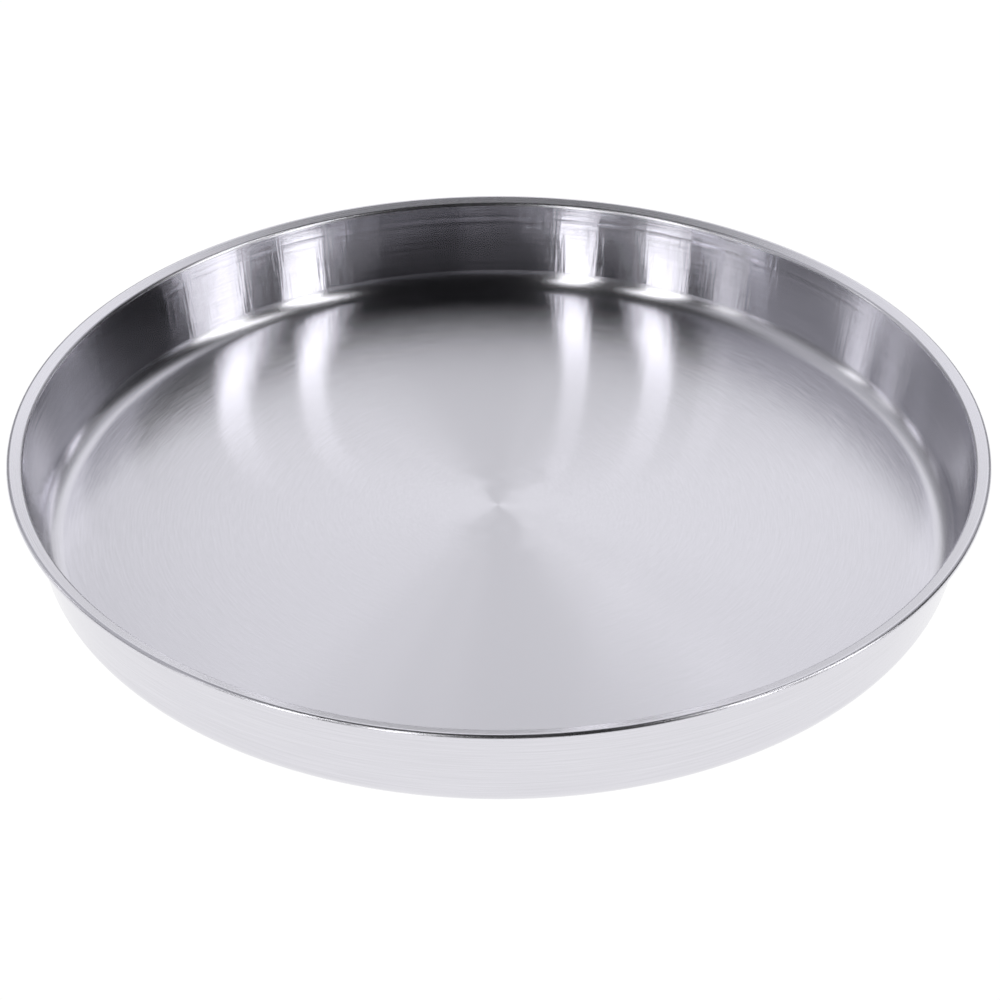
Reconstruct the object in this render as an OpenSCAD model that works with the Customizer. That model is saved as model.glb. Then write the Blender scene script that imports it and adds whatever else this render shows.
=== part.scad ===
// Shallow round baking pan pressed from one sheet of stainless steel.
// Units are millimetres. +Z is up, the origin is the centre of the underside.

/* [Pan] */
// Outside diameter over the curled edge
rim_diameter = 320; // [180:5:400]
// Overall height from the table to the top of the edge
pan_height = 34; // [25:1:60]
// Thickness of the sheet
sheet = 0.7; // [0.5:0.1:1.0]

/* [Wall] */
// Lean of the wall away from upright, in degrees
wall_tilt = 8.5; // [3:0.5:14]
// Inside radius where the floor turns up into the wall
corner_radius = 6.5; // [3:0.5:10]

/* [Lip] */
// Radius of the bend from the wall into the lip, on its upper side
bend_radius = 1.5; // [1.2:0.1:3]
// Rise of the lip towards its outer edge, in degrees
lip_tilt = 20; // [0:1:30]
// Straight part of the lip between the bend and the curl
lip_flat = 2.8; // [1:0.1:8]
// Outside radius of the curled edge
curl_radius = 1.1; // [1.1:0.1:2]
// How far the edge is curled round, in degrees
curl_turn = 215; // [190:5:240]

/* [Hidden] */
$fn = 96;
// Straights sit this far inside the arcs they run into, so the two cross cleanly.
tuck = 0.004;

function along(a, len) = [len * cos(a), len * sin(a)];

// Section, with x measured from the centre of the corner arc.
wall_in = -wall_tilt;        // from an arc's centre towards the wall, at the corner
wall_up = 180 - wall_tilt;   // the same at the bend, which bends the other way
lip_up = 90 + lip_tilt;      // square to the lip, upwards
corner = [0, sheet + corner_radius];
bend_y = pan_height - curl_radius + (curl_radius - tuck) * cos(lip_tilt)
    - lip_flat * sin(lip_tilt) - (bend_radius - tuck) * cos(lip_tilt);
wall_in_0 = corner + along(wall_in, corner_radius - tuck);
wall_in_1_y = bend_y + (bend_radius - tuck) * sin(wall_tilt);
wall_in_1 = [wall_in_0[0] + (wall_in_1_y - wall_in_0[1]) * tan(wall_tilt), wall_in_1_y];
bend = wall_in_1 - along(wall_up, bend_radius - tuck);
lip_0 = bend + along(lip_up, bend_radius - tuck);
lip_1 = lip_0 + along(lip_tilt, lip_flat);
curl = lip_1 - along(lip_up, curl_radius - tuck);
corner_x = rim_diameter / 2 - curl_radius - curl[0];

module disc(centre, r) {
    translate(centre) circle(r = r);
}

// Everything from the middle of the pan out to its outer surface.
module filled() {
    polygon([
        [0, 0],
        corner + along(wall_in, corner_radius + sheet - tuck),
        bend + along(wall_up, bend_radius - sheet - tuck),
        bend + along(lip_up, bend_radius - sheet - tuck),
        curl + along(lip_up, curl_radius - sheet - tuck) + along(lip_tilt, 0.05),
        lip_1 + along(lip_tilt, 0.05),
        lip_0 - along(lip_tilt, 0.6),
        [lip_0[0] - 0.6 * cos(lip_tilt), pan_height + 1],
        [0, pan_height + 1]
    ]);
    intersection() {
        disc(corner, corner_radius + sheet);
        translate([0, -1]) square([50, 100]);
    }
    difference() {
        disc(curl, curl_radius);
        // left open between the end of the curl and the underside of the lip
        polygon([
            curl,
            curl + along(lip_up, curl_radius - sheet / 2),
            curl + along(lip_up, curl_radius - sheet / 2) - along(lip_tilt, 8),
            curl + along(lip_up - curl_turn, 12) - along(lip_tilt, 8),
            curl + along(lip_up - curl_turn, 12)
        ]);
    }
}

module hollow() {
    difference() {
        polygon([
            [0, sheet],
            wall_in_0,
            wall_in_1,
            lip_0,
            [lip_0[0], pan_height + 2],
            [0, pan_height + 2]
        ]);
        disc(bend, bend_radius);
    }
}

module section() {
    square([corner_x, sheet]);
    translate([corner_x, 0]) difference() {
        filled();
        hollow();
        disc(corner, corner_radius);
        disc(bend, bend_radius - sheet);
        disc(curl, curl_radius - sheet);
    }
}

module pan() {
    color([0.78, 0.78, 0.80]) rotate_extrude() section();
}

pan();
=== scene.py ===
"""Shallow round baking pan, pressed from one sheet of stainless steel.

The sheet is modelled as its upper skin, folded up ring by ring from a flat floor, rounded
at each fold, and then given its thickness. Sizes are in metres, from named millimetres.
"""
from math import cos, pi, radians, sin, tan

import bpy
from mathutils import Matrix, Vector


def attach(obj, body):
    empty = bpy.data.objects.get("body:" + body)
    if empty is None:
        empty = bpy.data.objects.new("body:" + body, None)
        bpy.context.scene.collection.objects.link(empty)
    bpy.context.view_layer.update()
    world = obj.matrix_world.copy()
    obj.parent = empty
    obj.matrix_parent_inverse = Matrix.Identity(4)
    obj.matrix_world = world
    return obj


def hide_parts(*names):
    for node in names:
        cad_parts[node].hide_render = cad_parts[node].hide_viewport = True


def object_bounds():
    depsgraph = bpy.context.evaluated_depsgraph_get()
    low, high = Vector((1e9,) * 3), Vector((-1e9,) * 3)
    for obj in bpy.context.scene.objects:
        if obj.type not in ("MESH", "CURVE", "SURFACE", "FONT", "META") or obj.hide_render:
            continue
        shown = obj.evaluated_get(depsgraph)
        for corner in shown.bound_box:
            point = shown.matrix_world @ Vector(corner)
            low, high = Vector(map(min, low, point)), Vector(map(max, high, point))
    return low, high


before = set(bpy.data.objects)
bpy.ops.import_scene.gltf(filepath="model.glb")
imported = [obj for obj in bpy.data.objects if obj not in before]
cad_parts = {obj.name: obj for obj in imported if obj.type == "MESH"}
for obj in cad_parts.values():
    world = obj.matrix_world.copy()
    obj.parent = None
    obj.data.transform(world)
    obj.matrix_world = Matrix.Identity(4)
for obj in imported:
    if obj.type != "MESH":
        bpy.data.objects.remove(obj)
cad_low, cad_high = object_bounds()

MM = 0.001

# The pan's own sizes, as in its CAD model.
RIM_RADIUS = cad_high.x
PAN_HEIGHT = cad_high.z
SHEET = 0.7 * MM
WALL_TILT = radians(8.5)
CORNER_RADIUS = 6.5 * MM
BEND_RADIUS = 1.5 * MM
LIP_TILT = radians(20)
LIP_FLAT = 2.8 * MM
CURL_RADIUS = 1.1 * MM
CURL_TURN = radians(215)

# How far the sheet turns at the corner, at the lip and at each of the folds that make the curl.
CURL_FOLDS = 3
WALL_RISE = pi / 2 - WALL_TILT
BEND_TURN = WALL_RISE - LIP_TILT
FOLD_TURN = CURL_TURN / CURL_FOLDS

# How many steps make each arc.
CORNER_STEPS = 24
BEND_STEPS = 12
CURL_STEPS = 8


# ---------------------------------------------------------------- camera

CAMERA_PITCH = radians(34.66)
CAMERA_ROLL = radians(0.12)
CAMERA_PLACE = (0.0004, -0.6727, 0.4677)
SENSOR = 36.0
LENS = 87.55

camera_data = bpy.data.cameras.new("camera")
camera_data.sensor_width = SENSOR
camera_data.lens = LENS
camera = bpy.data.objects.new("camera", camera_data)
camera.location = CAMERA_PLACE
camera.rotation_euler = (
    Matrix.Rotation(pi / 2 - CAMERA_PITCH, 3, "X") @ Matrix.Rotation(CAMERA_ROLL, 3, "Z")
).to_euler()
bpy.context.scene.collection.objects.link(camera)
bpy.context.scene.camera = camera


# ---------------------------------------------------------------- node and colour helpers

def colour(hex_value):
    """A linear RGBA colour from an sRGB hex value."""
    channels = [int(hex_value[i:i + 2], 16) / 255 for i in (1, 3, 5)]
    linear = [c / 12.92 if c <= 0.04045 else ((c + 0.055) / 1.055) ** 2.4 for c in channels]
    return (*linear, 1.0)


def add_node(tree, kind, inputs=None, **settings):
    """Adds a node to the tree with its settings, its numbers and its links."""
    node = tree.nodes.new(kind)
    for name, value in settings.items():
        setattr(node, name, value)
    for socket, value in (inputs or {}).items():
        if isinstance(value, bpy.types.NodeSocket):
            tree.links.new(value, node.inputs[socket])
        else:
            node.inputs[socket].default_value = value
    return node


# ---------------------------------------------------------------- stainless steel

# Fine lines round the axis: the real grit leaves them about 0.1 mm apart, drawn coarser to show.
LINE_PITCH = 0.625 * MM
# Rings that the press leaves on the wall.
RING_PITCH = 2 * MM
# Marks drawn up the wall: in one radian round the pan, which is one per 0.9 mm, and up a metre.
DRAWS_ROUND = 170
DRAWS_UP = 60.0
# The middle of the floor, where the pad turns on the spot and its lines swirl.
SWIRL_RADIUS = 40 * MM
SWIRL_SIZE = 12.5 * MM
SWIRL_STRENGTH = 2.4
# How dark the bottom of a line is beside the steel next to it.
LINE_SHADE = 0.91
# Most of a noise pattern lies between these two values.
NOISE_LOW, NOISE_HIGH = 0.3, 0.7


def polished_steel(
    name, base, roughness, anisotropy, line_tilt, haze, draw_tilt=0.0, ring_tilt=0.0, arcs=5
):
    """Stainless steel with lines that run round the pan's axis.

    line_tilt and ring_tilt are how far the fine lines and the press rings tip the surface
    along the section, and draw_tilt how far the marks drawn up the wall tip it sideways, all
    in radians. haze is how far the roughness strays from line to line. More arcs round the
    pan make each line shorter.
    """
    material = bpy.data.materials.new(name)
    material.use_nodes = True
    tree = material.node_tree
    tree.nodes.clear()

    # Place on the pan: a direction about the axis, and a distance along the section.
    place = add_node(tree, "ShaderNodeTexCoord").outputs["Object"]
    axes = add_node(tree, "ShaderNodeSeparateXYZ", {0: place}).outputs
    flat = add_node(
        tree, "ShaderNodeVectorMath", {0: place, 1: (1, 1, 0)}, operation="MULTIPLY"
    ).outputs[0]
    radius = add_node(tree, "ShaderNodeVectorMath", {0: flat}, operation="LENGTH").outputs["Value"]
    around = add_node(tree, "ShaderNodeVectorMath", {0: flat}, operation="NORMALIZE").outputs[0]
    outward = add_node(tree, "ShaderNodeMath", {0: radius, 1: axes["Z"]}, operation="ADD").outputs[0]
    tangent = add_node(tree, "ShaderNodeTangent", direction_type="RADIAL", axis="Z").outputs[0]

    # Fine lines round the axis.
    line_place = add_node(
        tree, "ShaderNodeVectorMath", {0: around, 1: (arcs, arcs, arcs)}, operation="MULTIPLY"
    ).outputs[0]
    line_outward = add_node(
        tree, "ShaderNodeMath", {0: outward, 1: 1 / LINE_PITCH}, operation="MULTIPLY"
    ).outputs[0]
    lines = add_node(
        tree, "ShaderNodeTexNoise",
        {"Vector": line_place, "W": line_outward, "Scale": 1.0, "Detail": 3.0, "Roughness": 0.6},
        noise_dimensions="4D",
    ).outputs[0]

    # Marks that the press drew up the wall.
    draw_place = add_node(
        tree, "ShaderNodeVectorMath", {0: around, 1: (DRAWS_ROUND,) * 3}, operation="MULTIPLY"
    ).outputs[0]
    draw_outward = add_node(
        tree, "ShaderNodeMath", {0: outward, 1: DRAWS_UP}, operation="MULTIPLY"
    ).outputs[0]
    draws = add_node(
        tree, "ShaderNodeTexNoise",
        {"Vector": draw_place, "W": draw_outward, "Scale": 1.0, "Detail": 2.0, "Roughness": 0.6},
        noise_dimensions="4D",
    ).outputs[0]

    # Faint rings that the press leaves, true all the way round.
    rings = add_node(
        tree, "ShaderNodeTexNoise",
        {"W": outward, "Scale": 1 / RING_PITCH, "Detail": 2.0, "Roughness": 0.7},
        noise_dimensions="1D",
    ).outputs[0]

    # The surface tips along the section at each line and ring, and sideways at each drawn mark.
    normal = add_node(tree, "ShaderNodeNewGeometry").outputs["Normal"]
    section = add_node(
        tree, "ShaderNodeVectorMath", {0: normal, 1: tangent}, operation="CROSS_PRODUCT"
    ).outputs[0]
    line_lean, draw_lean, ring_lean = (
        add_node(
            tree, "ShaderNodeMapRange", {"Value": marks, "To Min": -tilt, "To Max": tilt}, clamp=False
        ).outputs[0]
        for marks, tilt in ((lines, line_tilt), (draws, draw_tilt), (rings, ring_tilt))
    )
    section_lean = add_node(
        tree, "ShaderNodeMath", {0: line_lean, 1: ring_lean}, operation="ADD"
    ).outputs[0]
    section_push = add_node(
        tree, "ShaderNodeVectorMath", {0: section, "Scale": section_lean}, operation="SCALE"
    ).outputs[0]
    draw_push = add_node(
        tree, "ShaderNodeVectorMath", {0: tangent, "Scale": draw_lean}, operation="SCALE"
    ).outputs[0]
    push = add_node(
        tree, "ShaderNodeVectorMath", {0: section_push, 1: draw_push}, operation="ADD"
    ).outputs[0]
    leaned = add_node(
        tree, "ShaderNodeVectorMath", {0: normal, 1: push}, operation="ADD"
    ).outputs[0]
    tipped = add_node(tree, "ShaderNodeVectorMath", {0: leaned}, operation="NORMALIZE").outputs[0]

    # The polish is a little uneven from line to line.
    gloss = add_node(
        tree, "ShaderNodeMapRange",
        {
            "Value": lines, "From Min": NOISE_LOW, "From Max": NOISE_HIGH,
            "To Min": roughness - haze, "To Max": roughness + haze,
        },
    ).outputs[0]

    # Near the axis the lines swirl instead of ringing a point.
    swirl = add_node(
        tree, "ShaderNodeTexNoise", {"Vector": place, "Scale": 1 / SWIRL_SIZE, "Detail": 1.0}
    ).outputs["Color"]
    swirl_way = add_node(
        tree, "ShaderNodeVectorMath", {0: swirl, 1: (0.5, 0.5, 0.5)}, operation="SUBTRACT"
    ).outputs[0]
    near_axis = add_node(
        tree, "ShaderNodeMapRange",
        {"Value": radius, "From Max": SWIRL_RADIUS, "To Min": SWIRL_STRENGTH, "To Max": 0.0},
        interpolation_type="SMOOTHSTEP",
    ).outputs[0]
    swirl_push = add_node(
        tree, "ShaderNodeVectorMath", {0: swirl_way, "Scale": near_axis}, operation="SCALE"
    ).outputs[0]
    swirled = add_node(
        tree, "ShaderNodeVectorMath", {0: tangent, 1: swirl_push}, operation="ADD"
    ).outputs[0]
    line_way = add_node(
        tree, "ShaderNodeVectorMath", {0: swirled}, operation="NORMALIZE"
    ).outputs[0]

    # The bottoms of the lines are a little darker than the steel between them.
    steel = colour(base)
    shaded_steel = (*(LINE_SHADE * channel for channel in steel[:3]), 1.0)
    depth = add_node(
        tree, "ShaderNodeMapRange", {"Value": lines, "From Min": NOISE_LOW, "From Max": NOISE_HIGH}
    ).outputs[0]
    tone = add_node(
        tree, "ShaderNodeMix", {0: depth, 6: shaded_steel, 7: steel}, data_type="RGBA"
    ).outputs[2]

    # A quarter turn of the grain spreads a reflection across the lines.
    shader = add_node(
        tree, "ShaderNodeBsdfPrincipled",
        {
            "Base Color": tone, "Metallic": 1.0, "Roughness": gloss,
            "Anisotropic": anisotropy, "Anisotropic Rotation": 0.25,
            "Tangent": line_way, "Normal": tipped,
        },
    ).outputs[0]
    add_node(tree, "ShaderNodeOutputMaterial", {"Surface": shader})
    return material


# Stainless steel, pressed and then buffed as it turns: near mirror bright, with fine lines
# that stretch a reflection up and down the wall, and streaks where the press drew it.
buffed_wall = polished_steel(
    "buffed_stainless_steel", "#DFDEE4", roughness=0.10, anisotropy=0.9,
    line_tilt=0.02, haze=0.01, draw_tilt=0.035, ring_tilt=0.04,
)
# The same steel, brushed in rings: it keeps a reflection narrow around the pan and smears it
# towards the middle.
brushed_floor = polished_steel(
    "ring_brushed_stainless_steel", "#DFDEE4", roughness=0.23, anisotropy=1.0,
    line_tilt=0.03, haze=0.02, arcs=14,
)
# The lip, rolled over and then dressed with fine abrasive along its length: a soft satin.
satin_lip = polished_steel(
    "satin_stainless_steel", "#E2E1E7", roughness=0.27, anisotropy=0.5,
    line_tilt=0.03, haze=0.03,
)
# The underside keeps the rolled sheet's duller mill finish.
mill_underside = polished_steel(
    "mill_finish_stainless_steel", "#D2D1D6", roughness=0.36, anisotropy=0.5,
    line_tilt=0.02, haze=0.04,
)


# ---------------------------------------------------------------- the pressed pan

SEGMENTS = 512
CENTRE_RADIUS = 5 * MM
FLOOR_RINGS = [30 * MM, 60 * MM, 90 * MM, 120 * MM]

# The curl's arcs are this share of its radius, so that neighbouring arcs don't quite meet.
CURL_FIT = 0.9995

# Points closer than this to a ring lie on it.
ON_RING = 0.01 * MM
# The ends of a ring's edge differ in height and in radius by less than this.
TRUE_RING = 0.001 * MM
# Points closer together than this are merged.
DOUBLE = 0.002 * MM


def pull_edge(radius, height, new_radius, new_height):
    """Extrudes the selected ring of edges out to a new radius and height."""
    bpy.ops.mesh.extrude_region_move(
        TRANSFORM_OT_translate={"value": (0, 0, new_height - height)}
    )
    bpy.ops.transform.resize(
        value=(new_radius / radius, new_radius / radius, 1), center_override=(0, 0, 0)
    )
    return new_radius, new_height


def select_rings(mesh, rings):
    """Selects only the edges that lie on any of the rings, each a radius and a height."""
    bpy.ops.object.mode_set(mode="OBJECT")
    for part in (mesh.vertices, mesh.edges, mesh.polygons):
        part.foreach_set("select", [False] * len(part))
    on_ring = [
        any(abs(v.co.xy.length - r) < ON_RING and abs(v.co.z - z) < ON_RING for r, z in rings)
        for v in mesh.vertices
    ]
    for edge in mesh.edges:
        start, end = (mesh.vertices[i] for i in edge.vertices)
        level = abs(start.co.z - end.co.z) < TRUE_RING
        round_the_axis = abs(start.co.xy.length - end.co.xy.length) < TRUE_RING
        if on_ring[start.index] and on_ring[end.index] and level and round_the_axis:
            edge.select = start.select = end.select = True
    bpy.ops.object.mode_set(mode="EDIT")


def round_fold(mesh, rings, fold_radius, turn, steps):
    """Rounds the folds that lie on these rings to a true arc."""
    select_rings(mesh, rings)
    bpy.ops.mesh.bevel(
        offset_type="OFFSET", offset=fold_radius * tan(turn / 2), segments=steps,
        profile=0.5, affect="EDGES", clamp_overlap=False,
    )


def step(angle, length):
    """A step in the pan's section, at an angle up from straight outwards."""
    return Vector((cos(angle), sin(angle))) * length


def section_folds():
    """The sharp folds of the upper skin, each a radius and a height, from floor to curled edge."""
    curl_centre = Vector((RIM_RADIUS - CURL_RADIUS, PAN_HEIGHT - CURL_RADIUS))
    lip_end = curl_centre + step(pi / 2 + LIP_TILT, CURL_RADIUS)
    lip_start = lip_end - step(LIP_TILT, LIP_FLAT)
    lip_fold = lip_start - step(LIP_TILT, BEND_RADIUS * tan(BEND_TURN / 2))
    floor_fold = Vector((lip_fold.x - (lip_fold.y - SHEET) * tan(WALL_TILT), SHEET))
    folds = [floor_fold, lip_fold]
    point, heading = lip_end, LIP_TILT
    half_side = CURL_RADIUS * tan(FOLD_TURN / 2)
    for _ in range(CURL_FOLDS):
        point = point + step(heading, half_side)
        folds.append(point)
        heading -= FOLD_TURN
        point = point + step(heading, half_side)
    folds.append(point)
    return folds


def give_finishes(mesh, floor_fold, lip_fold):
    """Gives each face the finish of its place: wall, floor and corner, underside, or lip."""
    for finish in (buffed_wall, brushed_floor, mill_underside, satin_lip):
        mesh.materials.append(finish)
    floor_finish, underside_finish, lip_finish = 1, 2, 3
    floor_edge = floor_fold.x - CORNER_RADIUS * tan(WALL_RISE / 2)
    corner_top = SHEET + CORNER_RADIUS * (1 - sin(WALL_TILT))
    lip_edge = lip_fold.x - BEND_RADIUS * tan(BEND_TURN / 2) * sin(WALL_TILT)
    for face in mesh.polygons:
        if face.normal.z > 0 and face.center.z < corner_top:
            face.material_index = floor_finish
        elif face.center.xy.length < floor_edge:
            face.material_index = underside_finish
        elif face.center.xy.length > lip_edge:
            face.material_index = lip_finish


def pressed_pan():
    """The pan: floor, corner, wall, lip and curled edge in one sheet."""
    folds = section_folds()
    floor_fold, lip_fold, *curl_folds, _ = folds

    # A small ring at the centre, drawn out to the floor and then folded up, ring by ring.
    bpy.ops.object.select_all(action="DESELECT")
    bpy.ops.mesh.primitive_circle_add(
        vertices=SEGMENTS, radius=CENTRE_RADIUS, fill_type="NOTHING", location=(0, 0, 0)
    )
    pan = bpy.context.active_object
    pan.name = pan.data.name = "pressed_pan"
    mesh = pan.data
    bpy.ops.object.mode_set(mode="EDIT")
    bpy.ops.mesh.select_mode(type="EDGE")
    bpy.ops.mesh.select_all(action="SELECT")
    bpy.ops.transform.translate(value=(0, 0, SHEET))
    radius, height = CENTRE_RADIUS, SHEET
    for floor_ring in FLOOR_RINGS:
        radius, height = pull_edge(radius, height, floor_ring, SHEET)
    for fold in folds:
        radius, height = pull_edge(radius, height, *fold)

    round_fold(mesh, [floor_fold], CORNER_RADIUS, WALL_RISE, CORNER_STEPS)
    round_fold(mesh, [lip_fold], BEND_RADIUS, BEND_TURN, BEND_STEPS)
    round_fold(mesh, curl_folds, CURL_RADIUS * CURL_FIT, FOLD_TURN, CURL_STEPS)
    select_rings(mesh, [(CENTRE_RADIUS, SHEET)])
    bpy.ops.mesh.edge_face_add()

    bpy.ops.mesh.select_all(action="SELECT")
    bpy.ops.mesh.remove_doubles(threshold=DOUBLE)
    bpy.ops.mesh.normals_make_consistent(inside=False)
    bpy.ops.object.mode_set(mode="OBJECT")
    centre_face = max(mesh.polygons, key=lambda face: len(face.vertices))
    if centre_face.normal.z < 0:
        mesh.flip_normals()

    thickness = pan.modifiers.new("sheet thickness", "SOLIDIFY")
    thickness.thickness = SHEET
    thickness.offset = -1
    thickness.use_even_offset = True
    bpy.ops.object.modifier_apply(modifier=thickness.name)

    give_finishes(mesh, floor_fold, lip_fold)
    bpy.ops.object.shade_smooth_by_angle(angle=radians(40))
    weighted = pan.modifiers.new("flat faces keep their shading", "WEIGHTED_NORMAL")
    weighted.keep_sharp = True
    weighted.weight = 100
    bpy.ops.object.modifier_apply(modifier=weighted.name)
    return pan


pan = pressed_pan()
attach(pan, "root")
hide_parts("pan")


# ---------------------------------------------------------------- table and studio

TABLE_RADIUS = 12
TABLE_LEVEL = 1.02
# The table lies a hair under the pan, so that the two don't share a plane.
TABLE_GAP = 0.05 * MM


def light_table():
    """A white acrylic table, lit evenly from below."""
    bpy.ops.object.select_all(action="DESELECT")
    bpy.ops.mesh.primitive_circle_add(
        vertices=96, radius=TABLE_RADIUS, fill_type="NGON", location=(0, 0, -TABLE_GAP)
    )
    table = bpy.context.active_object
    table.name = table.data.name = "white_table"
    material = bpy.data.materials.new("lit_white_acrylic")
    material.use_nodes = True
    tree = material.node_tree
    tree.nodes.clear()
    glow = add_node(
        tree, "ShaderNodeEmission", {"Color": colour("#FFFFFF"), "Strength": TABLE_LEVEL}
    ).outputs[0]
    add_node(tree, "ShaderNodeOutputMaterial", {"Surface": glow})
    table.data.materials.append(material)
    return table


light_table()


SOFTBOX_DISTANCE = 2.5


def direction(azimuth, elevation):
    """A direction out of the pan.

    Azimuth is from the camera's side, positive to the right, and both are in degrees.
    """
    a, e = radians(azimuth), radians(elevation)
    return Vector((sin(a) * cos(e), -cos(a) * cos(e), sin(e)))


def softbox(name, foot, head, width, level):
    """A long softbox that faces the pan, from its foot to its head.

    Foot and head are each an azimuth and an elevation, width is in degrees as seen from the
    pan, and level is the brightness, where 1 is white.
    """
    low, high = direction(*foot) * SOFTBOX_DISTANCE, direction(*head) * SOFTBOX_DISTANCE
    length_axis = (high - low).normalized()
    away = (low + high).normalized()
    away = (away - length_axis * away.dot(length_axis)).normalized()
    data = bpy.data.lights.new(name, "AREA")
    data.shape = "RECTANGLE"
    data.size = 2 * SOFTBOX_DISTANCE * tan(radians(width / 2))
    data.size_y = (high - low).length
    data.energy = level * pi * data.size * data.size_y
    light = bpy.data.objects.new(name, data)
    light.matrix_world = Matrix((length_axis.cross(away), length_axis, away)).transposed().to_4x4()
    light.location = (low + high) / 2
    bpy.context.scene.collection.objects.link(light)


# Four tall strips in front, each leaning outwards, wider in its lower half than in its upper.
softbox("strip_left_near_low", (-20.6, 8), (-22, 28), 9, 3.4)
softbox("strip_left_near_high", (-22, 28), (-24.5, 62), 5.5, 3.4)
softbox("strip_left_low", (-43.5, 8), (-46.3, 28), 10.5, 3.0)
softbox("strip_left_high", (-46.3, 28), (-51, 60), 6.5, 3.4)
softbox("strip_right_near_low", (51.5, 8), (55.4, 28), 10, 3.4)
softbox("strip_right_near_high", (55.4, 28), (62, 62), 6, 3.4)
softbox("strip_right_low", (75, 8), (81, 28), 15, 2.4)
softbox("strip_right_high", (81, 28), (90, 60), 8, 3.0)
# Weaker panels down the left side, and a soft glow on the sweep behind the table.
softbox("panel_left", (-62, 2), (-64, 38), 7, 1.3)
softbox("panel_left_side", (-103.5, 8), (-105, 30), 6, 1.6)
softbox("panel_left_back", (-117, 8), (-119, 30), 6, 0.6)
softbox("backdrop", (176, 1), (176, 56), 34, 0.55)

DARK_ROOM = "#0C0C0D"
PALE_SWEEP = "#C3C3C7"
# The way to the middle of the sweep from the pan: behind the table and to its left.
SWEEP_WAY = (-0.45, 0.89, 0)
# Where the sweep fades in at its sides, brightens with height, and fades out overhead. These
# are parts of a direction: along SWEEP_WAY for the sides, and upward for the other two.
SWEEP_SIDES = (-0.02, 0.08)
SWEEP_RISE = (0.35, 0.60)
SWEEP_TOP = (0.82, 0.94)
SWEEP_LOW_LEVEL = 0.55


def studio_surroundings():
    """A pale sweep behind the table and to its left, dimmer low down, in a dark room."""
    world = bpy.data.worlds.new("studio")
    bpy.context.scene.world = world
    world.use_nodes = True
    tree = world.node_tree
    tree.nodes.clear()
    facing = add_node(tree, "ShaderNodeTexCoord").outputs["Generated"]
    axes = add_node(tree, "ShaderNodeSeparateXYZ", {0: facing}).outputs
    sideways = add_node(
        tree, "ShaderNodeVectorMath", {0: facing, 1: SWEEP_WAY}, operation="DOT_PRODUCT"
    ).outputs["Value"]
    around = add_node(
        tree, "ShaderNodeMapRange",
        {"Value": sideways, "From Min": SWEEP_SIDES[0], "From Max": SWEEP_SIDES[1]},
        interpolation_type="SMOOTHSTEP",
    ).outputs[0]
    rising = add_node(
        tree, "ShaderNodeMapRange",
        {
            "Value": axes["Z"], "From Min": SWEEP_RISE[0], "From Max": SWEEP_RISE[1],
            "To Min": SWEEP_LOW_LEVEL, "To Max": 1.0,
        },
        interpolation_type="SMOOTHSTEP",
    ).outputs[0]
    ceiling = add_node(
        tree, "ShaderNodeMapRange",
        {
            "Value": axes["Z"], "From Min": SWEEP_TOP[0], "From Max": SWEEP_TOP[1],
            "To Min": 1.0, "To Max": 0.0,
        },
        interpolation_type="SMOOTHSTEP",
    ).outputs[0]
    upward = add_node(
        tree, "ShaderNodeMath", {0: rising, 1: ceiling}, operation="MULTIPLY"
    ).outputs[0]
    sweep = add_node(tree, "ShaderNodeMath", {0: around, 1: upward}, operation="MULTIPLY").outputs[0]
    shade = add_node(
        tree, "ShaderNodeMix", {0: sweep, 6: colour(DARK_ROOM), 7: colour(PALE_SWEEP)},
        data_type="RGBA",
    ).outputs[2]
    glow = add_node(tree, "ShaderNodeBackground", {"Color": shade, "Strength": 1.0}).outputs[0]
    add_node(tree, "ShaderNodeOutputWorld", {"Surface": glow})


studio_surroundings()
bpy.context.scene.view_settings.view_transform = "Standard"
